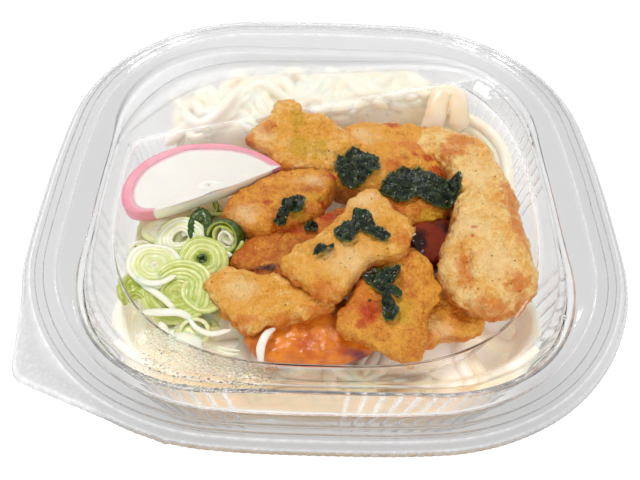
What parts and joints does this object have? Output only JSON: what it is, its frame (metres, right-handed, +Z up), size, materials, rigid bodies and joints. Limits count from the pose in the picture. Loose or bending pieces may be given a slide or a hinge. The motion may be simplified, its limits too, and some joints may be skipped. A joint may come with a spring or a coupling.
{
  "type": "udon noodle bowl",
  "caption": "Chilled udon in a clear square takeaway bowl with a lift tab; a clear tray over the noodles holds tempura, a fish cake slice, spring onion and seaweed.",
  "frame": {"origin": "centre of the bowl's foot, on the surface it stands on", "axes": "+X to the right and +Y to the back as the bowl is served, with the lift tab at the front left; +Z up"},
  "size_m": [0.18, 0.18, 0.0541],
  "materials": {
    "clear_plastic": "clear formed plastic, glossy, with fine ribs and a matte lift tab",
    "noodle": "moist, soft sheen",
    "white_shred": "moist",
    "batter": "crisp fried batter, uneven golden brown",
    "fish_cake_white": "smooth, soft sheen",
    "fish_cake_pink": "smooth, soft sheen",
    "eggplant": "dark red, oily gloss",
    "sweet_potato": "thin batter over orange flesh, purple skin edge",
    "spring_onion": "moist, pale green to dark green",
    "seaweed": "dark green, crinkled, oily sheen"
  },
  "bodies": {
    "root": {"bowl": "clear_plastic", "tray": "clear_plastic", "noodles": "noodle", "white_shred": "white_shred", "tempura_top": "batter", "tempura_back": "batter", "tempura_front_right": "batter", "tempura_left": "batter", "tempura_front_left": "batter", "tempura_long": "batter", "tempura_middle": "batter", "tempura_behind": "batter", "tempura_under_left": "batter", "tempura_low_right": "batter", "fish_cake_body": "fish_cake_white", "fish_cake_skin": "fish_cake_pink", "eggplant": "eggplant", "sweet_potato": "sweet_potato", "spring_onion": "spring_onion", "seaweed_back": "seaweed", "seaweed_right": "seaweed", "seaweed_top": "seaweed", "seaweed_top_small": "seaweed", "seaweed_left": "seaweed", "seaweed_left_small": "seaweed", "seaweed_front": "seaweed"}
  },
  "joints": []
}
